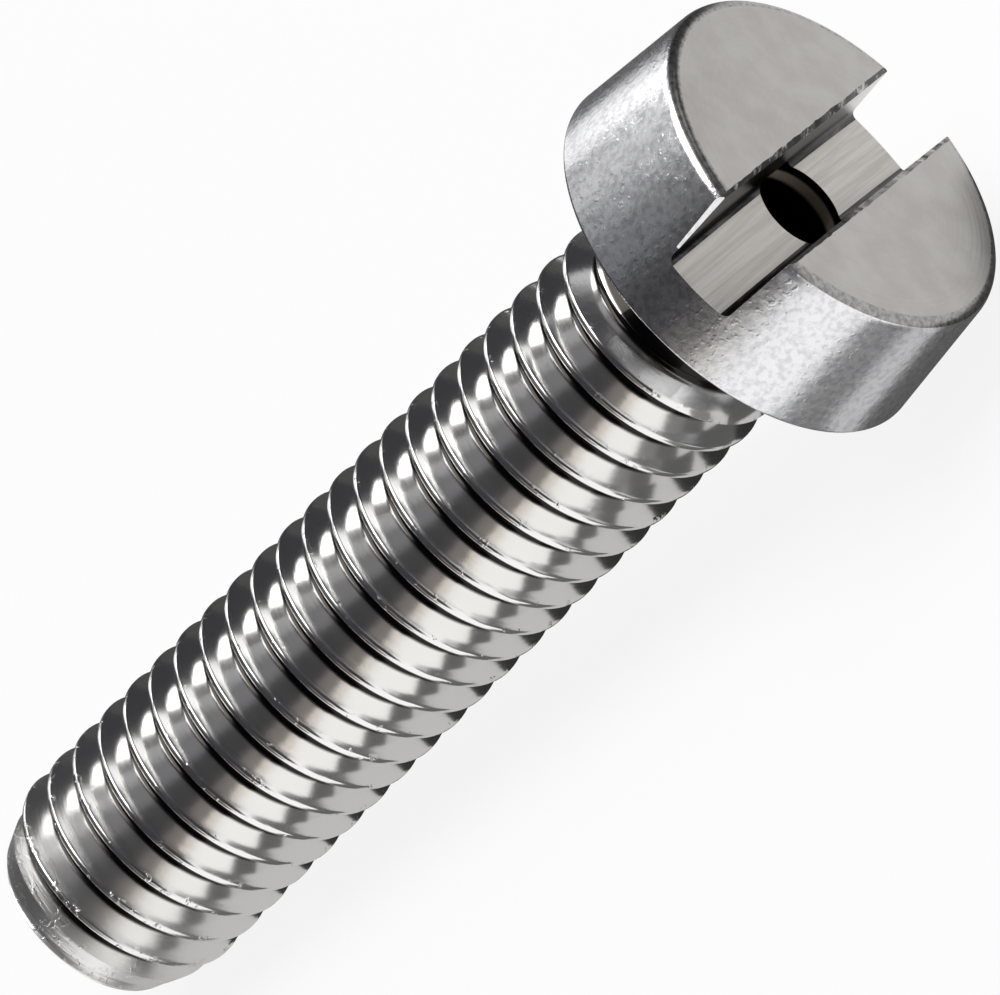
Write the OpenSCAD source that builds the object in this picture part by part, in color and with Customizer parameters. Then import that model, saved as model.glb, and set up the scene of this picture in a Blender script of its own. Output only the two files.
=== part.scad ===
// Slotted cheese-head machine screw with a vent bore along its axis.
// It is formed upright, head up, with the seat of its head at height 0,
// then laid on its side, where it rests on the rim of its head and on its thread.

/* [Thread] */
// Outer diameter of the thread
thread_d = 5.95; // [5.6:0.05:6.4]
// Distance from one turn of the thread to the next
pitch = 1; // [0.8:0.05:1.2]
// Angle between the two flanks of the thread
flank_angle = 60; // [55:1:65]
// Where the crest starts at the tip, as a turn about the axis
thread_start = 30; // [0:1:359]
// Length from the seat of the head to the tip
shank_l = 25.2; // [16:0.1:40]

/* [Neck] */
// Diameter of the plain neck between head and thread
neck_d = 4.8; // [4.6:0.05:5.4]
// Length of the plain neck
neck_l = 1.5; // [0.8:0.1:3]
// Length of the cone from the neck down to the root of the thread
neck_cone_l = 0.3; // [0.2:0.05:0.6]
// Length over which the thread runs out towards the neck
runout_l = 0.9; // [0.5:0.1:2]
// Radius of the fillet between neck and head
neck_fillet = 0.25; // [0.1:0.05:0.5]

/* [Tip] */
// Length of the taper at the tip
tip_taper_l = 1.6; // [0.5:0.1:2]
// Angle of the taper from the axis
tip_taper_angle = 21; // [5:1:22]
// Width of the bevel round the end face
tip_bevel = 0.3; // [0.1:0.05:0.45]

/* [Head] */
// Largest diameter of the head
head_d = 10; // [9:0.1:12]
// Height of the head
head_h = 3.6; // [3:0.1:5]
// Draft of the side of the head
side_draft = 5.5; // [0:0.5:8]
// Radius of the edge round the seat
seat_round = 0.1; // [0.05:0.05:0.5]
// Radius of the edge round the top face
face_round = 0.3; // [0.1:0.05:0.5]

/* [Slot] */
// Width of the drive slot at its mouth, before the edges are broken
slot_w = 2; // [1.4:0.01:2.2]
// Draft of each wall of the slot
slot_draft = 3; // [0:0.5:5]
// Depth of the slot at the axis, where its crowned floor is highest
slot_depth = 1.48; // [1:0.01:2]
// Radius of the crowned floor along the slot
slot_floor_r = 27.5; // [20:0.5:80]
// Tilt of the floor along the slot
slot_tilt = 2; // [-3:0.5:3]
// Radius of the corner between floor and wall
slot_corner = 0.18; // [0.05:0.01:0.25]
// Width of the broken edges at the mouth of the slot
slot_break = 0.12; // [0.02:0.01:0.15]
// How far the slot and the vent bore lie to one side of the axis
off_axis = 0.13; // [0:0.01:0.3]

/* [Vent] */
// Diameter of the vent bore
vent_d = 2.3; // [1:0.1:2.6]
// How far the vent bore runs past the floor of the slot, into its walls
vent_overrun = 0.15; // [0.1:0.05:0.4]
// Width of the bevel round the vent bore in the end face
vent_bevel = 0.15; // [0.05:0.05:0.2]

/* [Rest] */
// Turn of the screw about its own axis as it lies
roll = 324; // [0:1:359]

/* [Hidden] */
metal = [0.74, 0.73, 0.72];
round_steps = 6;
sides = 96;
floor_sides = 360;
past = 1;
sunk = 0.1;

// Thread form: a flat crest of an eighth and a flat root of a sixth of the pitch
crest_w = pitch / 8;
root_w = pitch / 6;
flank_w = (pitch - crest_w - root_w) / 2;
crest_r = thread_d / 2;
root_r = crest_r - flank_w / tan(flank_angle / 2);
neck_r = neck_d / 2;
form_z = [0, crest_w, crest_w + flank_w, pitch - flank_w];
form_r = [crest_r, crest_r, root_r, root_r];
corners = len(form_z);
steps = 30;
// Each turn has flats, one of which faces down as the screw lies
first_turn = 180 / steps - roll;
flat_r = crest_r * cos(180 / steps);
// Rise of the crest from thread_start to the first step
first_rise = pitch * (((first_turn - thread_start) % 360 + 360) % 360) / 360;

// The ridge starts below the tip and ends sunk in the neck
ridge_low = -shank_l - 2 * pitch;
ridge_rows = corners * ceil((shank_l + 4 * pitch - neck_l) / pitch);
last_row = ridge_rows - corners - 1;
sunk_r = neck_r - sunk;

// Share of the ridge left at a height: all of it below the run-out, none at the neck
function ridge_share(z) = min(1, max(0, (-neck_l - z) / runout_l));
function ridge_z(row, step) =
    ridge_low + first_rise + pitch * (floor(row / corners) + step / steps) + form_z[row % corners];
function ridge_r(row, z) = sunk_r + (form_r[row % corners] - sunk_r) * ridge_share(z);
// Point of a row at a step round the axis
function ridge_point(row, step) =
    let (z = ridge_z(row, step), r = ridge_r(row, z), turn = first_turn + 360 * step / steps)
    [r * cos(turn), r * sin(turn), z];
// Index of that point: the step after the last lies one turn higher
function at(row, step) =
    step < steps ? row * steps + step : (row + corners) * steps + step - steps;
// Rim of an end: once round in a row, then back along the form
function rim(row) =
    concat([for (step = [0:steps]) at(row, step)], [for (back = [corners - 1:-1:0]) at(row + back, 0)]);
// Points of an arc, from one angle to another
function arc(centre, r, from, to) =
    [for (k = [0:round_steps]) let (a = from + (to - from) * k / round_steps)
        centre + r * [cos(a), sin(a)]];

// Head outline: round seat edge, drafted side, round face edge
seat_edge = [head_d / 2 - seat_round, seat_round];
side_foot = seat_edge + seat_round * [cos(side_draft), sin(side_draft)];
side_l = (head_h - face_round * (1 - sin(side_draft)) - side_foot[1]) / cos(side_draft);
face_edge = side_foot + side_l * [-sin(side_draft), cos(side_draft)]
    - face_round * [cos(side_draft), sin(side_draft)];

// Tip outline
bevel_r = crest_r - (tip_taper_l - tip_bevel) * tan(tip_taper_angle);
end_r = bevel_r - tip_bevel;

// Half the width of the slot at a height over the highest point of its floor
function slot_half(rise) = slot_w / 2 - (slot_depth - rise) * tan(slot_draft);

// Right-hand helix of the thread, closed by a cap at each end
module thread_helix() {
    low_centre = ridge_rows * steps;
    points = concat(
        [for (row = [0:ridge_rows - 1], step = [0:steps - 1]) ridge_point(row, step)],
        [[0, 0, ridge_low], [0, 0, ridge_z(ridge_rows - 1, 0)]]);
    wall = [for (row = [0:last_row - 1], step = [0:steps - 1], half = [0, 1])
        half == 0
            ? [at(row, step), at(row + 1, step), at(row + 1, step + 1)]
            : [at(row, step), at(row + 1, step + 1), at(row, step + 1)]];
    low_rim = rim(0);
    high_rim = rim(last_row);
    low_cap = [for (k = [1:len(low_rim) - 1]) [low_centre, low_rim[k - 1], low_rim[k]]];
    high_cap = [for (k = [1:len(high_rim) - 1]) [low_centre + 1, high_rim[k], high_rim[k - 1]]];
    polyhedron(points, concat(wall, low_cap, high_cap));
}

// Outline that trims the thread to a tapered, bevelled tip
module tip_trim() {
    wide = crest_r + past;
    rotate_extrude($fn = sides)
        polygon([[0, -shank_l], [end_r, -shank_l], [bevel_r, tip_bevel - shank_l],
            [wide, tip_bevel - shank_l + (wide - bevel_r) / tan(tip_taper_angle)],
            [wide, 0], [0, 0]]);
}

// Head and plain neck, turned as one
module head_and_neck() {
    rotate_extrude($fn = sides)
        polygon(concat(
            [[0, -neck_l - neck_cone_l], [root_r - sunk, -neck_l - neck_cone_l], [neck_r, -neck_l]],
            arc([neck_r + neck_fillet, -neck_fillet], neck_fillet, 180, 90),
            arc(seat_edge, seat_round, -90, side_draft),
            arc(face_edge, face_round, side_draft, 90),
            [[0, head_h]]));
}

// Drive slot along Y, with drafted walls, a crowned floor, round corners and broken mouth edges
module slot() {
    corner_rise = slot_corner * (1 - sin(slot_draft));
    corner = [slot_half(corner_rise) - slot_corner * cos(slot_draft), slot_floor_r + slot_corner];
    top = slot_half(slot_depth + past);
    edge = slot_half(slot_depth - slot_break);
    outline = concat(
        arc(corner, slot_corner, -90, -slot_draft),
        [[top, slot_floor_r + slot_depth + past], [-top, slot_floor_r + slot_depth + past]],
        arc([-corner[0], corner[1]], slot_corner, 180 + slot_draft, 270));
    translate([off_axis, 0, head_h - slot_depth])
        rotate([slot_tilt, 0, 0])
            translate([0, 0, -slot_floor_r])
                rotate([0, 90, 0])
                    rotate_extrude($fn = floor_sides)
                        polygon([for (p = outline) [p[1], p[0]]]);
    translate([off_axis, head_d, head_h])
        rotate([90, 0, 0])
            linear_extrude(2 * head_d)
                polygon([[-edge - slot_break - past, past], [-edge, -slot_break],
                    [edge, -slot_break], [edge + slot_break + past, past]]);
}

// Vent bore from the end face into the slot
module vent() {
    vent_r = vent_d / 2;
    translate([off_axis, 0, -shank_l - past]) {
        cylinder(h = past + shank_l + head_h - slot_depth + vent_overrun, r = vent_r, $fn = sides);
        cylinder(h = past + vent_bevel, r1 = vent_r + vent_bevel + past, r2 = vent_r, $fn = sides);
    }
}

module upright_screw() {
    difference() {
        union() {
            intersection() {
                thread_helix();
                tip_trim();
            }
            // The seam of its turning faces up as the screw lies, and so a flat faces down
            rotate([0, 0, 180 - roll]) head_and_neck();
        }
        slot();
        vent();
    }
}

// Lowest full crest on the side that faces down
down_crest = ridge_low + pitch * (720 - roll - thread_start) / 360;
contact_z = down_crest + pitch * ceil((tip_taper_l - shank_l - down_crest) / pitch);
// Tilt at which the round seat edge and that crest touch the same level
lean = acos(-seat_round / norm([seat_edge[0] - flat_r, seat_round - contact_z]))
    - atan2(seat_round - contact_z, seat_edge[0] - flat_r);
lift = seat_edge[0] * cos(lean) - seat_round * sin(lean) + seat_round;
front_x = face_edge[1] * cos(lean) + face_edge[0] * sin(lean) + face_round;
back_x = -shank_l * cos(lean) - end_r * sin(lean);

// The screw as it lies, centred over the origin, head towards +X
module screw() {
    color(metal)
        translate([-(front_x + back_x) / 2, 0, lift])
            rotate([0, 90 - lean, 0])
                rotate([0, 0, roll])
                    upright_screw();
}

screw();
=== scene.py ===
"""Looks of a slotted cheese-head machine screw with a vent bore, lying on a pale floor."""
from math import cos, pi, radians, sin, tan

import bmesh
import bpy
from mathutils import Matrix, Vector


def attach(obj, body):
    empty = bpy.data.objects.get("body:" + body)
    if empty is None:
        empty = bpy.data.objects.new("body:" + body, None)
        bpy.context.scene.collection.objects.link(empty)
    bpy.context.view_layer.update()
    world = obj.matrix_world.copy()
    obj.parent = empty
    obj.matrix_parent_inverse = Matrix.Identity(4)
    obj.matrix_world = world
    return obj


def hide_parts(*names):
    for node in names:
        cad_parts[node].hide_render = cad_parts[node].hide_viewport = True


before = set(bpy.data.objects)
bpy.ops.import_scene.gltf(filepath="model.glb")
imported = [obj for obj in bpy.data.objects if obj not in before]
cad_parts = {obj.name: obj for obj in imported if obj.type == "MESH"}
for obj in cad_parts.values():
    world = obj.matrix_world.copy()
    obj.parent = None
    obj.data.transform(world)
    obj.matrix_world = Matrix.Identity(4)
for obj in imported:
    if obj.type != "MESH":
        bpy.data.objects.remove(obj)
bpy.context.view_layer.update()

# The screw's sizes in millimetres: it is modelled upright, with the seat of its head at height 0
PITCH, CREST_R, SHANK_L = 1.0, 2.975, 25.2
CREST_W, ROOT_W, FLANK_ANGLE = PITCH / 8, PITCH / 6, radians(30)
FLANK_W = (PITCH - CREST_W - ROOT_W) / 2
ROOT_R = CREST_R - FLANK_W / tan(FLANK_ANGLE)
THREAD_START = 30
NECK_R, NECK_L, NECK_CONE_L, RUNOUT_L, NECK_FILLET = 2.4, 1.5, 0.3, 0.9, 0.25
TIP_TAPER_L, TIP_TAPER_ANGLE, TIP_BEVEL = 1.6, radians(21), 0.3
HEAD_R, HEAD_H, SIDE_DRAFT, SEAT_ROUND, FACE_ROUND = 5.0, 3.6, radians(5.5), 0.1, 0.3
SLOT_W, SLOT_DRAFT, SLOT_DEPTH, SLOT_TILT = 2.0, radians(3), 1.48, radians(2)
SLOT_FLOOR_R, SLOT_CORNER, SLOT_BREAK, OFF_AXIS = 27.5, 0.18, 0.12, 0.13
VENT_R, VENT_OVERRUN, VENT_BEVEL = 1.15, 0.15, 0.15

# How it lies: turned about its own axis, laid on its side with a slight lean,
# then lifted and centred
ROLL, LEAN = radians(324), radians(5.011364)
LYING = (Matrix.Translation((0.0106614, 0, 0.0049725))
         @ Matrix.Rotation(pi / 2 - LEAN, 4, "Y") @ Matrix.Rotation(ROLL, 4, "Z"))
SEAT = LYING.translation.copy()
AXIS = (LYING.to_3x3() @ Vector((0, 0, 1))).normalized()


# ---- Camera ----

def aim_camera():
    """Long lens seen from in front and above, rolled until the screw points to the upper right."""
    view_to_axis, screw_in_image = radians(57.6), radians(45.045)
    elevation, distance = radians(30), 0.385
    px_per_mm, width, height = 44.3, 1000, 995
    seat_px = (739.2, 257.3)
    level = (cos(view_to_axis) - sin(elevation) * AXIS.z) / (cos(elevation) * AXIS.x)
    ground = cos(elevation)
    back = Vector((ground * level, -ground * (1 - level ** 2) ** 0.5, sin(elevation)))
    along = (AXIS - back * cos(view_to_axis)).normalized()
    across = back.cross(along)
    right = along * cos(screw_in_image) - across * sin(screw_in_image)
    up = along * sin(screw_in_image) + across * cos(screw_in_image)
    shift_right = (seat_px[0] - width / 2) / px_per_mm / 1000
    shift_up = (height / 2 - seat_px[1]) / px_per_mm / 1000
    bpy.ops.object.camera_add()
    camera = bpy.context.object
    turn = Matrix((right, up, back)).transposed().to_4x4()
    place = SEAT - right * shift_right - up * shift_up + back * distance
    camera.matrix_world = Matrix.Translation(place) @ turn
    camera.data.sensor_width = 36
    camera.data.lens = px_per_mm * distance * 1000 / width * 36
    camera.data.clip_start, camera.data.clip_end = 0.02, 10
    bpy.context.scene.camera = camera


# ---- Modelling helpers ----

def draw_outline(name, points):
    """Draws an open outline of (radius, height) points by pulling one corner along it."""
    bpy.ops.object.select_all(action="DESELECT")
    bpy.ops.mesh.primitive_plane_add(size=0.01)
    body = bpy.context.object
    body.name = name
    bpy.ops.object.mode_set(mode="EDIT")
    bpy.ops.mesh.select_all(action="SELECT")
    bpy.ops.mesh.merge(type="CENTER")
    here = Vector((points[0][0], 0, points[0][1]))
    bpy.ops.transform.translate(value=here)
    for radius, height in points[1:]:
        there = Vector((radius, 0, height))
        bpy.ops.mesh.extrude_vertices_move(TRANSFORM_OT_translate={"value": there - here})
        here = there
    bpy.ops.mesh.select_all(action="SELECT")
    return body


def leave_edit():
    """Merges doubles, turns the faces outwards and leaves edit mode."""
    bpy.ops.mesh.select_all(action="SELECT")
    bpy.ops.mesh.remove_doubles(threshold=0.0004)
    bpy.ops.mesh.normals_make_consistent(inside=False)
    bpy.ops.object.mode_set(mode="OBJECT")


def choose_edges(body, rule):
    """Selects the edges of the body in edit mode that the rule picks."""
    bpy.ops.mesh.select_all(action="DESELECT")
    mesh = bmesh.from_edit_mesh(body.data)
    for edge in mesh.edges:
        edge.select_set(rule(edge))
    bmesh.update_edit_mesh(body.data)


def turned(name, points, steps):
    """A solid turned on the lathe from an outline that starts and ends on the axis."""
    body = draw_outline(name, points)
    bpy.ops.mesh.spin(steps=steps, angle=2 * pi, center=(0, 0, 0), axis=(0, 0, 1),
                      use_auto_merge=True)
    leave_edit()
    return body


def arc(centre, radius, start, end, steps):
    """Points of an arc in the outline's plane, angles in radians."""
    angles = [start + (end - start) * k / steps for k in range(steps + 1)]
    return [(centre[0] + radius * cos(a), centre[1] + radius * sin(a)) for a in angles]


def apply_modifier(body, kind, **settings):
    """Gives a body a modifier with these settings and applies it."""
    bpy.ops.object.select_all(action="DESELECT")
    bpy.context.view_layer.objects.active = body
    body.select_set(True)
    bpy.ops.object.modifier_add(type=kind)
    modifier = body.modifiers[-1]
    for key, value in settings.items():
        setattr(modifier, key, value)
    bpy.ops.object.modifier_apply(modifier=modifier.name)


def combine(body, tool, operation):
    """Joins, trims or cuts a body with another, which is used up."""
    apply_modifier(body, "BOOLEAN", object=tool, operation=operation, solver="EXACT",
                   material_mode="TRANSFER")
    bpy.data.objects.remove(tool)


# ---- The screw's shapes ----

def thread_outline():
    """One pitch of the thread from crest to crest, with rounded crest and full round root."""
    crest_round, lean = 0.06, pi / 2 - FLANK_ANGLE
    short = crest_round * tan(lean / 2)
    crest = [(CREST_R, 0.0)]
    crest += arc((CREST_R - crest_round, CREST_W / 2 - short), crest_round, 0, lean, 4)
    root_round = ROOT_W / 2 / tan(lean / 2)
    root = arc((ROOT_R + root_round, PITCH / 2), root_round, pi + lean, pi, 4)
    # Two points close to the ends of the flank keep its shading flat
    supports = [tuple(a + (b - a) * share for a, b in zip(crest[-1], root[0]))
                for share in (0.08, 0.92)]
    down = crest + supports + root
    up = [(r, PITCH - z) for r, z in reversed(down[:-1])]
    return down + up


def make_thread(finish):
    """Right-hand thread, screwed up from one pitch of its outline and closed at both ends."""
    low = -SHANK_L - 2 * PITCH
    start = low + CREST_W / 2 - PITCH * THREAD_START / 360
    turns = int(SHANK_L + 3)
    thread = draw_outline("thread", [(r, z + start) for r, z in thread_outline()])
    bpy.ops.object.mode_set(mode="OBJECT")
    apply_modifier(thread, "SCREW", axis="Z", angle=2 * pi, screw_offset=PITCH, iterations=turns,
                   steps=96, render_steps=96, use_merge_vertices=True, merge_threshold=0.0005)
    bpy.ops.object.mode_set(mode="EDIT")
    bpy.ops.mesh.select_all(action="SELECT")
    bpy.ops.mesh.remove_doubles(threshold=0.0005)
    bpy.ops.mesh.select_mode(type="EDGE")
    middle = start + turns / 2
    for low_end in (True, False):
        choose_edges(thread, lambda edge: (edge.is_boundary
                                           and (edge.verts[0].co.z < middle) == low_end))
        bpy.ops.mesh.extrude_edges_move(TRANSFORM_OT_translate={"value": (0, 0, 0)})
        bpy.ops.mesh.merge(type="CENTER")
    bpy.ops.mesh.select_mode(type="VERT")
    leave_edit()
    thread.data.materials.append(finish)
    return thread


def make_trim(finish):
    """Envelope of the shank: tapered, bevelled tip below, run-out towards the neck above."""
    wide, sunk = CREST_R + 0.5, 0.1
    bevel_r = CREST_R - (TIP_TAPER_L - TIP_BEVEL) * tan(TIP_TAPER_ANGLE)
    tip = [(0, -SHANK_L), (bevel_r - TIP_BEVEL, -SHANK_L)]
    bevel_centre = (bevel_r - TIP_BEVEL, TIP_BEVEL - SHANK_L)
    tip += arc(bevel_centre, TIP_BEVEL, -pi / 2, -TIP_TAPER_ANGLE, 5)[1:]
    tip += [(wide, -SHANK_L + TIP_BEVEL + (wide - bevel_r) / tan(TIP_TAPER_ANGLE))]
    slope = (CREST_R - NECK_R) / RUNOUT_L
    top_z = -NECK_L + sunk / slope
    top = [(wide, -NECK_L - RUNOUT_L - (wide - CREST_R) / slope),
           (NECK_R - sunk, top_z), (0, top_z)]
    trim = turned("trim", tip + top, 96)
    trim.data.materials.append(finish)
    return trim


def make_head(neck, side, rim, face):
    """Head and neck in one: fillet, round seat edge, drafted side, round face edge."""
    seat_edge = Vector((HEAD_R - SEAT_ROUND, SEAT_ROUND))
    foot = seat_edge + SEAT_ROUND * Vector((cos(SIDE_DRAFT), sin(SIDE_DRAFT)))
    side_l = (HEAD_H - FACE_ROUND * (1 - sin(SIDE_DRAFT)) - foot.y) / cos(SIDE_DRAFT)
    face_edge = (foot + side_l * Vector((-sin(SIDE_DRAFT), cos(SIDE_DRAFT)))
                 - FACE_ROUND * Vector((cos(SIDE_DRAFT), sin(SIDE_DRAFT))))
    foot_z, sunk, rim_band, skin = -NECK_L - NECK_CONE_L, 0.1, 0.14, 0.001
    head = turned("head", [(0, foot_z), (ROOT_R - sunk, foot_z), (NECK_R, -NECK_L)]
                  + arc((NECK_R + NECK_FILLET, -NECK_FILLET), NECK_FILLET, pi, pi / 2, 8)
                  + arc(seat_edge, SEAT_ROUND, -pi / 2, SIDE_DRAFT, 8)
                  + arc(face_edge, FACE_ROUND, SIDE_DRAFT, pi / 2, 8) + [(0, HEAD_H)], 144)
    # Their numbers on the head: neck 0, side and underside 1, rim 2, face 3
    for finish in (neck, side, rim, face):
        head.data.materials.append(finish)
    for panel in head.data.polygons:
        height, outside_neck = panel.center.z, panel.center.xy.length > NECK_R + NECK_FILLET
        panel.material_index = (3 if height > HEAD_H - skin else 2 if height > HEAD_H - rim_band
                                else 1 if height > skin or outside_neck else 0)
    return head


def slot_half(rise):
    """Half the slot's width at a height over the highest point of its floor."""
    return SLOT_W / 2 - (SLOT_DEPTH - rise) * tan(SLOT_DRAFT)


def make_slot_cutter(floor_finish, wall_finish):
    """Cutter with the slot's section, swept along the arc of the crowned and tilted floor."""
    floor_z, top = HEAD_H - SLOT_DEPTH, SLOT_DEPTH + 1.2
    flat = slot_half(SLOT_CORNER * (1 - sin(SLOT_DRAFT))) - SLOT_CORNER * cos(SLOT_DRAFT)
    section = (arc((flat, floor_z + SLOT_CORNER), SLOT_CORNER, -pi / 2, -SLOT_DRAFT, 5)
               + [(slot_half(top), floor_z + top), (-slot_half(top), floor_z + top)]
               + arc((-flat, floor_z + SLOT_CORNER), SLOT_CORNER, pi + SLOT_DRAFT, 1.5 * pi, 5))
    cutter = draw_outline("slot_cutter", section)
    bpy.ops.mesh.edge_face_add()
    sweep = radians(26)
    crown = (0, 0, floor_z - SLOT_FLOOR_R)
    bpy.ops.transform.rotate(value=sweep / 2, orient_axis="X", center_override=crown)
    bpy.ops.mesh.spin(steps=24, angle=-sweep, center=crown, axis=(1, 0, 0))
    bpy.ops.mesh.select_all(action="SELECT")
    bpy.ops.transform.rotate(value=-SLOT_TILT, orient_axis="X", center_override=(0, 0, floor_z))
    bpy.ops.transform.translate(value=(OFF_AXIS, 0, 0))
    leave_edit()
    for finish in (floor_finish, wall_finish):
        cutter.data.materials.append(finish)
    for panel in cutter.data.polygons:
        panel.material_index = 1 if abs(panel.center.x - OFF_AXIS) > flat + 0.02 else 0
    return cutter


def make_mouth_cutter(finish):
    """Wedge that breaks both edges of the slot's mouth, a little ragged as a saw leaves them."""
    half, past, length, stations = slot_half(SLOT_DEPTH - SLOT_BREAK), 0.5, 11, 64
    low, wide, high = HEAD_H - SLOT_BREAK, half + SLOT_BREAK + past, HEAD_H + past
    cutter = draw_outline("mouth_cutter", [(half, low), (wide, high), (-wide, high), (-half, low)])
    bpy.ops.mesh.edge_face_add()
    bpy.ops.transform.translate(value=(OFF_AXIS, -length / 2, 0))
    one_station = {"value": (0, length / stations, 0)}
    for _ in range(stations):
        bpy.ops.mesh.extrude_region_move(TRANSFORM_OT_translate=one_station)
    bpy.ops.mesh.select_all(action="DESELECT")
    mesh = bmesh.from_edit_mesh(cutter.data)
    for corner in mesh.verts:
        corner.select_set(corner.co.z < low + 0.01 and abs(corner.co.y) < length / 2 - 0.1)
    bpy.ops.transform.vertex_random(offset=0.02, seed=7)
    leave_edit()
    cutter.data.materials.append(finish)
    return cutter


def make_corner_cutter(finish):
    """Block that takes a thin sliver off one upright corner, where the slot leaves the head."""
    turn, taper, height, depth, tall = radians(28), radians(3), 2.9, 0.075, 1.9
    half = slot_half(height - HEAD_H + SLOT_DEPTH)
    edge_r = HEAD_R - height * tan(SIDE_DRAFT)
    corner_x = OFF_AXIS - half
    corner = Vector((corner_x, -(edge_r ** 2 - corner_x ** 2) ** 0.5, height))
    out = Vector((sin(turn), -cos(turn), 0))
    bpy.ops.object.select_all(action="DESELECT")
    bpy.ops.mesh.primitive_cube_add(size=1, location=(0, 0, 0))
    cutter = bpy.context.object
    cutter.name = "corner_cutter"
    cutter.data.materials.append(finish)
    cutter.matrix_world = (
        Matrix.Translation(corner + out * (0.5 - depth)) @ Matrix.Rotation(turn, 4, "Z")
        @ Matrix.Rotation(-SIDE_DRAFT - taper, 4, "X") @ Matrix.Diagonal((1, 1, tall, 1)))
    return cutter


def make_vent_cutter(finish):
    """Long drill with a bevel at the tip's end."""
    top, past = HEAD_H - SLOT_DEPTH + VENT_OVERRUN, 1
    outline = [(0, -SHANK_L - past), (VENT_R + VENT_BEVEL + past, -SHANK_L - past),
               (VENT_R, -SHANK_L + VENT_BEVEL), (VENT_R, top), (0, top)]
    cutter = turned("vent_cutter", outline, 72)
    cutter.location.x = OFF_AXIS
    cutter.data.materials.append(finish)
    return cutter


# ---- Finishes ----

class Wire:
    """A socket of a node tree, on which arithmetic adds the Math nodes."""

    def __init__(self, tree, socket):
        self.tree, self.socket = tree, socket

    def node(self, kind, settings=(), sockets=(), out=0):
        made = self.tree.nodes.new(kind)
        for key, value in dict(settings).items():
            setattr(made, key, value)
        for key, value in dict(sockets).items():
            if isinstance(value, Wire):
                self.tree.links.new(value.socket, made.inputs[key])
            else:
                made.inputs[key].default_value = value
        return Wire(self.tree, made.outputs[out])

    def maths(self, operation, *values, clamp=False):
        settings = {"operation": operation, "use_clamp": clamp}
        return self.node("ShaderNodeMath", settings, enumerate(values))

    def of(self, operation):
        """A function of this value alone, such as its square root."""
        return self.maths(operation, self)

    def __add__(self, other):
        return self.maths("ADD", self, other)

    __radd__ = __add__

    def __sub__(self, other):
        return self.maths("SUBTRACT", self, other)

    def __rsub__(self, other):
        return self.maths("SUBTRACT", other, self)

    def __mul__(self, other):
        return self.maths("MULTIPLY", self, other)

    __rmul__ = __mul__

    def step(self, low, high):
        """0 below low, 1 above high, smooth between."""
        return self.node("ShaderNodeMapRange", {"interpolation_type": "SMOOTHSTEP"},
                         {"Value": self, "From Min": low, "From Max": high})

    def blend(self, low, high):
        """A colour that goes from low to high as this value goes from 0 to 1."""
        return self.node("ShaderNodeMix", {"data_type": "RGBA"},
                         {"Factor": self, 6: (*low, 1), 7: (*high, 1)}, 2)


class Finish:
    """A metal finish: one Principled shader, with the screw's own coordinates in millimetres."""

    def __init__(self, name, colour, roughness, metallic=1.0):
        self.material = bpy.data.materials.new(name)
        self.material.use_nodes = True
        tree = self.material.node_tree
        self.shader = tree.nodes["Principled BSDF"]
        self.set("Base Color", (*colour, 1))
        self.set("Roughness", roughness)
        self.set("Metallic", metallic)
        coords = Wire(tree, tree.nodes.new("ShaderNodeTexCoord").outputs["Object"])
        self.place = coords.node("ShaderNodeMapping", {"vector_type": "TEXTURE"}, {
            "Vector": coords, "Location": LYING.translation, "Rotation": LYING.to_euler(),
            "Scale": (0.001, 0.001, 0.001)})
        split = coords.node("ShaderNodeSeparateXYZ", sockets={0: self.place}).socket.node
        self.x, self.y, self.z = (Wire(tree, output) for output in split.outputs)
        self.radius = (self.x * self.x + self.y * self.y).of("SQRT")
        self.angle = self.x.maths("ARCTAN2", self.y, self.x)

    def set(self, socket, value):
        if isinstance(value, Wire):
            value.tree.links.new(value.socket, self.shader.inputs[socket])
        else:
            self.shader.inputs[socket].default_value = value

    def vector(self, x, y, z=0.0):
        return self.x.node("ShaderNodeCombineXYZ", sockets={0: x, 1: y, 2: z})

    def noise(self, scale, detail, rough, where=None):
        return self.x.node("ShaderNodeTexNoise", {"noise_dimensions": "3D"}, {
            "Vector": where or self.place, "Scale": scale, "Detail": detail, "Roughness": rough})

    def bump(self, height, distance, under=None):
        """Relief as deep as distance, in millimetres, over another relief if there is one."""
        sockets = {"Height": height, "Distance": distance / 1000, "Strength": 1.0}
        if under:
            sockets["Normal"] = under
        return self.x.node("ShaderNodeBump", {}, sockets)


# Clean rolled steel, and steel with a satin finish
BRIGHT, SATIN = (0.95, 0.94, 0.925), (0.45, 0.435, 0.42)


def turned_face():
    """Satin top face, with faint turning rings and cloudy patches."""
    f = Finish("turned_face_steel", SATIN, 0.3)
    rings = f.noise(1.0, 3, 0.6, f.vector(f.radius * 14, f.angle * 0.6))
    cloud = f.noise(1.3, 3, 0.55)
    tone = (rings * 0.3 + cloud * 0.7).step(0.3, 0.7)
    f.set("Base Color", tone.blend((0.42, 0.40, 0.385), (0.485, 0.47, 0.455)))
    f.set("Roughness", 0.28 + rings * 0.12)
    f.set("Normal", f.bump(rings, 0.004))
    return f.material


def drawn_floor():
    """Milled floor of the slot: fine lines along it, with painted shade darkening it towards its
    corners.
    """
    f = Finish("milled_slot_steel", SATIN, 0.3)
    lines = f.noise(1.0, 3, 0.6, f.vector(f.x * 9, f.y * 0.25, f.z * 0.25))
    # Painted shade: the floor darkens towards its corners by the walls
    edge = (f.x - OFF_AXIS).of("ABSOLUTE").step(0.62, 0.86)
    tone = lines.step(0.3, 0.7) * (1 - edge)
    f.set("Base Color", tone.blend((0.40, 0.375, 0.35), (0.54, 0.52, 0.495)))
    f.set("Roughness", 0.26 + lines * 0.15)
    f.set("Normal", f.bump(lines, 0.006))
    return f.material


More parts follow.
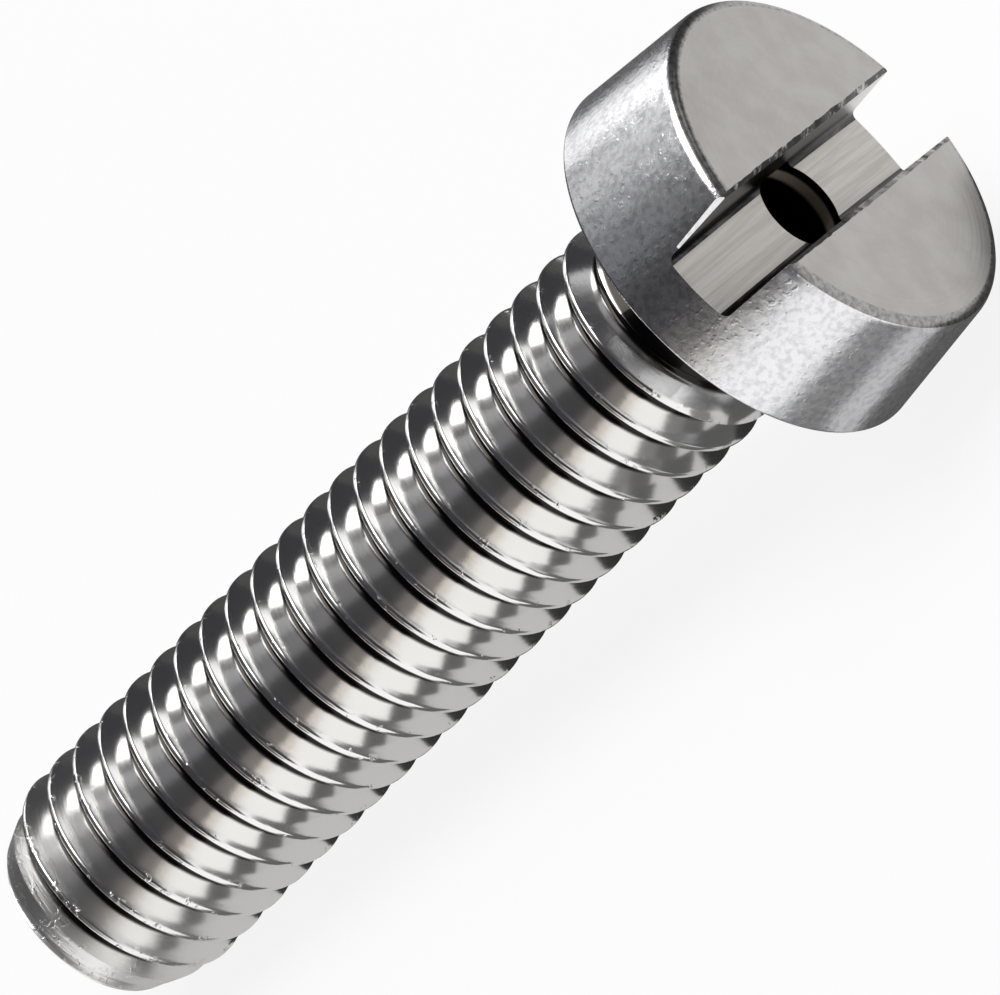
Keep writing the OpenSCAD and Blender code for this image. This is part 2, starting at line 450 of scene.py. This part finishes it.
def sawn_wall():
    """Sawn walls of the slot, painted dark as shade, with painted light at their far end."""
    f = Finish("sawn_wall_steel", (0.05, 0.047, 0.047), 0.35)
    lines = f.noise(1.0, 3, 0.6, f.vector(f.z * 7, f.y * 0.4, f.x * 3))
    # Painted light at the walls' far end; elsewhere the walls are painted dark as shade
    painted_far_end_light = (f.z + f.y * 0.575).step(4.6, 4.9)
    tone = lines.step(0.35, 0.75) * 0.12 + painted_far_end_light * (0.5 + lines * 0.8)
    f.set("Base Color", tone.blend((0.015, 0.014, 0.015), (0.75, 0.73, 0.71)))
    f.set("Roughness", 0.25 + lines * 0.2)
    f.set("Normal", f.bump(lines, 0.01))
    return f.material


def broken_edge():
    """Ragged edges at the mouth of the slot, dark with light flecks, and painted lighter on the +x
    side as light falls there.
    """
    f = Finish("broken_edge_steel", SATIN, 0.3)
    flecks = f.noise(3.0, 3, 0.7)
    # Painted light: the +x edge is lighter than the other; the flecks are random
    light = (flecks + f.x.step(-0.3, 0.3) * 0.2).step(0.52, 0.66)
    f.set("Base Color", light.blend((0.06, 0.055, 0.05), (0.50, 0.485, 0.47)))
    f.set("Normal", f.bump(flecks, 0.01))
    return f.material


def rim_painted_shade():
    """Narrow band round the edge of the face, painted darker than the face as shade, with a
    mottled tone.
    """
    f = Finish("rim_painted_shade_steel", SATIN, 0.3)
    rim_mottle = f.noise(8.0, 3, 0.6)
    # Painted shade: both tones of the band are darker than the face
    f.set("Base Color", rim_mottle.step(0.3, 0.7).blend((0.24, 0.235, 0.23), (0.45, 0.44, 0.43)))
    f.set("Roughness", 0.22 + rim_mottle * 0.15)
    f.set("Normal", f.bump(rim_mottle, 0.005))
    return f.material


def pitted_side():
    """Bright, pitted side of the head and its underside."""
    f = Finish("pitted_side_steel", (0.78, 0.785, 0.80), 0.3)
    peel, grain, specks = f.noise(2.0, 2, 0.5), f.noise(6.0, 2, 0.5), f.noise(7.0, 1, 0.5)
    f.set("Base Color", grain.step(0.30, 0.60).blend((0.74, 0.74, 0.76), (0.94, 0.94, 0.955)))
    f.set("Roughness", 0.22 + grain * 0.08)
    marks = grain * 0.6 + specks.step(0.56, 0.78) * 0.6
    f.set("Normal", f.bump(marks, 0.005, under=f.bump(peel, 0.01)))
    return f.material


def rolled_thread():
    """Bright thread: root and run-out painted dark as shade, nicked crests, duller and rougher at
    the tip.
    """
    f = Finish("rolled_thread_steel", BRIGHT, 0.15)
    helix = f.z - f.angle * (PITCH / 2 / pi)
    wave = f.noise(1.0, 2, 0.5, f.vector(f.radius * 3, f.z * 0.8, f.angle * 2.5))
    along_form = (helix * (2 * pi)).of("SINE") * 2
    drawn = f.noise(1.0, 3, 0.6, f.vector(f.radius * 12, along_form, f.angle * 1.5))
    tip, cone = f.z.step(6 - SHANK_L, 0.6 - SHANK_L), f.z.step(1.3 - SHANK_L, 0.9 - SHANK_L)
    crest = f.radius.step(2.86, 2.94)
    nicks = f.noise(3.0, 3, 0.65) + tip * 0.08
    # Painted shadow on the run-out just under the head, and painted shade darkening the roots of
    # the thread
    shaded = f.z.step(-1.84, -1.76) * f.z.step(0.1, 0.0)
    root = f.radius.step(2.46, 2.39) * f.z.step(0.35 - SHANK_L, 0.6 - SHANK_L)
    dark = shaded.maths("MAXIMUM", shaded, root)
    f.set("Base Color", dark.blend(BRIGHT, (0.03, 0.027, 0.025)))
    f.set("Roughness", 0.12 + wave * 0.06 + tip * 0.12 + cone * 0.12)
    marks = (wave * 0.2 + drawn * (0.05 + tip * 0.1 + cone * 0.9)
             + nicks.step(0.61, 0.69) * (crest + cone * 0.5) * (0.35 + tip * 0.5))
    f.set("Normal", f.bump(marks, 0.02))
    return f.material


def shaded_neck():
    """Plain neck under the head, painted dark and dull as the shadow under the head."""
    f = Finish("dark_neck_steel", (0.07, 0.065, 0.06), 0.6, 0.0)
    f.set("Specular IOR Level", 0.1)
    rings = f.noise(1.0, 2, 0.5, f.vector(f.z * 9, f.angle * 0.6))
    # Painted shadow: the neck's tones are kept near black
    f.set("Base Color", rings.blend((0.05, 0.045, 0.042), (0.13, 0.12, 0.11)))
    f.set("Normal", f.bump(rings, 0.01))
    return f.material


def dark_bore():
    """Drilled bore, painted dark as shade, with a painted lit ring just inside its mouth."""
    f = Finish("drilled_bore_steel", (0.05, 0.04, 0.035), 0.4)
    grooves = f.noise(1.0, 2, 0.5, f.vector(f.z * 5, f.angle * 0.4))
    mouth = HEAD_H - SLOT_DEPTH
    # Painted light: a pale, dull ring just inside the mouth; the rest of the bore is painted dark
    # as shade
    lit = f.z.step(mouth - 0.55, mouth - 0.40) * f.z.step(mouth - 0.14, mouth - 0.24)
    f.set("Base Color", lit.blend((0.03, 0.025, 0.02), (0.95, 0.83, 0.70)))
    f.set("Metallic", 1 - lit * 0.8)
    f.set("Roughness", 0.3 + grooves * 0.2)
    f.set("Normal", f.bump(grooves, 0.02))
    return f.material


# ---- Studio ----

def pale_floor():
    """Pale floor, white to the camera and in the metal, that keeps the screw's shadow."""
    bpy.ops.object.select_all(action="DESELECT")
    bpy.ops.mesh.primitive_grid_add(x_subdivisions=8, y_subdivisions=8, size=4)
    floor = bpy.context.object
    floor.name = "floor"
    material = bpy.data.materials.new("pale_floor")
    material.use_nodes = True
    tree = material.node_tree
    tree.nodes.remove(tree.nodes["Principled BSDF"])
    paths = tree.nodes.new("ShaderNodeLightPath").outputs
    camera, glossy, through = (Wire(tree, paths[f"Is {kind} Ray"])
                               for kind in ("Camera", "Glossy", "Transmission"))
    shown, share_of_white = camera.maths("ADD", camera + glossy, through, clamp=True), 0.88
    paint = camera.node("ShaderNodeBsdfDiffuse", sockets={"Color": (0.92, 0.92, 0.92, 1)})
    white = camera.node("ShaderNodeEmission", sockets={"Color": (1, 1, 1, 1), "Strength": 1.0})
    mixed = camera.node("ShaderNodeMixShader",
                        sockets={0: shown * share_of_white, 1: paint, 2: white})
    tree.links.new(mixed.socket, tree.nodes["Material Output"].inputs["Surface"])
    floor.data.materials.append(material)


def towards(azimuth, elevation):
    """Direction from the screw, in degrees: azimuth 0 is past the head, 90 behind the screw."""
    azimuth, elevation = radians(azimuth), radians(elevation)
    return Vector((cos(azimuth) * cos(elevation), sin(azimuth) * cos(elevation), sin(elevation)))


def soft_box(name, azimuth, elevation, wide, high, radiance, tint=(1, 1, 1)):
    """A soft box that faces the screw and looks this wide and high from it, in degrees."""
    distance = 0.5
    place = towards(azimuth, elevation) * distance
    bpy.ops.object.light_add(type="AREA", location=place)
    lamp = bpy.context.object
    lamp.name = name
    lamp.rotation_euler = place.to_track_quat("Z", "Y").to_euler()
    lamp.data.shape = "RECTANGLE"
    lamp.data.size, lamp.data.size_y = (
        2 * distance * tan(radians(angle) / 2) for angle in (wide, high))
    lamp.data.energy = pi * radiance * lamp.data.size * lamp.data.size_y
    lamp.data.color = tint
    lamp.visible_camera = False


def painted_reflection_sheet(name, x0, x1, y0, y1, tone=0.03):
    """A glowing sheet of even tone on the floor that shows only in the metal, painting a dark or
    grey reflection there; its edges in millimetres.
    """
    height = 0.02
    bpy.ops.object.select_all(action="DESELECT")
    bpy.ops.mesh.primitive_grid_add(x_subdivisions=2, y_subdivisions=2, size=1,
                                    location=((x0 + x1) / 2000, (y0 + y1) / 2000, height / 1000))
    sheet = bpy.context.object
    sheet.name = name
    sheet.scale = ((x1 - x0) / 1000, (y1 - y0) / 1000, 1)
    material = bpy.data.materials.new(name)
    material.use_nodes = True
    tree = material.node_tree
    tree.nodes.remove(tree.nodes["Principled BSDF"])
    even = tree.nodes.new("ShaderNodeEmission")
    even.inputs["Color"].default_value = (tone, tone, tone, 1)
    tree.links.new(even.outputs[0], tree.nodes["Material Output"].inputs["Surface"])
    sheet.data.materials.append(material)
    for ray in ("camera", "diffuse", "shadow", "transmission"):
        setattr(sheet, f"visible_{ray}", False)


def light_studio():
    """Dim room with soft boxes round the screw, and glowing sheets that paint reflections into its
    metal.
    """
    bpy.context.scene.view_settings.view_transform = "Standard"
    world = bpy.data.worlds.new("studio")
    bpy.context.scene.world = world
    world.use_nodes = True
    world.node_tree.nodes["Background"].inputs["Color"].default_value = (0.04, 0.04, 0.044, 1)
    world.node_tree.nodes["Background"].inputs["Strength"].default_value = 1.0
    # Azimuth and elevation, width and height, radiance, tint
    soft_box("overhead_box", 30, 76, 46, 40, 4.5)
    soft_box("right_box", 34, 21, 14, 15, 1.0)
    soft_box("right_fill", 16, 20, 16, 16, 0.25)
    soft_box("left_box", 122, 20, 15, 28, 0.95)
    soft_box("upper_left_box", 103, 40, 24, 26, 2.2)
    soft_box("upper_fill", 136, 48, 16, 16, 0.6)
    soft_box("left_fill", 158, 61, 18, 10, 0.34, (0.95, 0.96, 1))
    soft_box("front_left_fill", -160, 58, 22, 14, 0.14, (0.92, 0.94, 1))
    soft_box("front_fill", -121, 16, 11, 20, 0.17, (1, 0.88, 0.8))
    soft_box("low_fill", -116, 5, 12, 10, 0.75, (1, 0.94, 0.86))
    # From x to x, from y to y, tone
    painted_reflection_sheet("card_behind", -900, 9.5, 4, 1900, 0.07)
    painted_reflection_sheet("card_far_behind", 9.5, 1200, 38, 1900, 0.07)
    # Painted shadow and shade: sheets under and below the shank, where the floor lies in the
    # screw's shadow
    painted_reflection_sheet("painted_shadow_under_shank", -18, 9.5, -1.2, 3.5)
    painted_reflection_sheet("painted_shade_below_shank", -18, 9.5, -3.2, -1.2, 0.52)
    painted_reflection_sheet("card_beside_shank", -18, 9.5, -5.6, -3.2, 0.12)
    painted_reflection_sheet("card_beside_head", 4, 16, -9.6, -5.6, 0.2)
    # Painted shade and shadow: sheets below and under the head, where the floor lies in its shadow
    painted_reflection_sheet("painted_shade_below_head", 9.5, 16, -5.6, -3.9, 0.55)
    painted_reflection_sheet("painted_shadow_under_head", 9.5, 16, -3.9, 4, 0.1)


# ---- Making it ----

aim_camera()
face, floor_metal, wall, edge, rim, side, neck, thread_metal, bore = (
    turned_face(), drawn_floor(), sawn_wall(), broken_edge(), rim_painted_shade(), pitted_side(),
    shaded_neck(), rolled_thread(), dark_bore())
screw = make_thread(thread_metal)
combine(screw, make_trim(thread_metal), "INTERSECT")
combine(screw, make_head(neck, side, rim, face), "UNION")
combine(screw, make_slot_cutter(floor_metal, wall), "DIFFERENCE")
combine(screw, make_mouth_cutter(edge), "DIFFERENCE")
combine(screw, make_corner_cutter(side), "DIFFERENCE")
combine(screw, make_vent_cutter(bore), "DIFFERENCE")
screw.name = "slotted_screw"
screw.matrix_world = LYING @ Matrix.Scale(0.001, 4)
bpy.ops.object.select_all(action="DESELECT")
bpy.context.view_layer.objects.active = screw
screw.select_set(True)
bpy.ops.object.transform_apply(location=True, rotation=True, scale=True)
bpy.ops.object.shade_smooth_by_angle(angle=radians(32))
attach(screw, "root")
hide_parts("screw")

pale_floor()
light_studio()
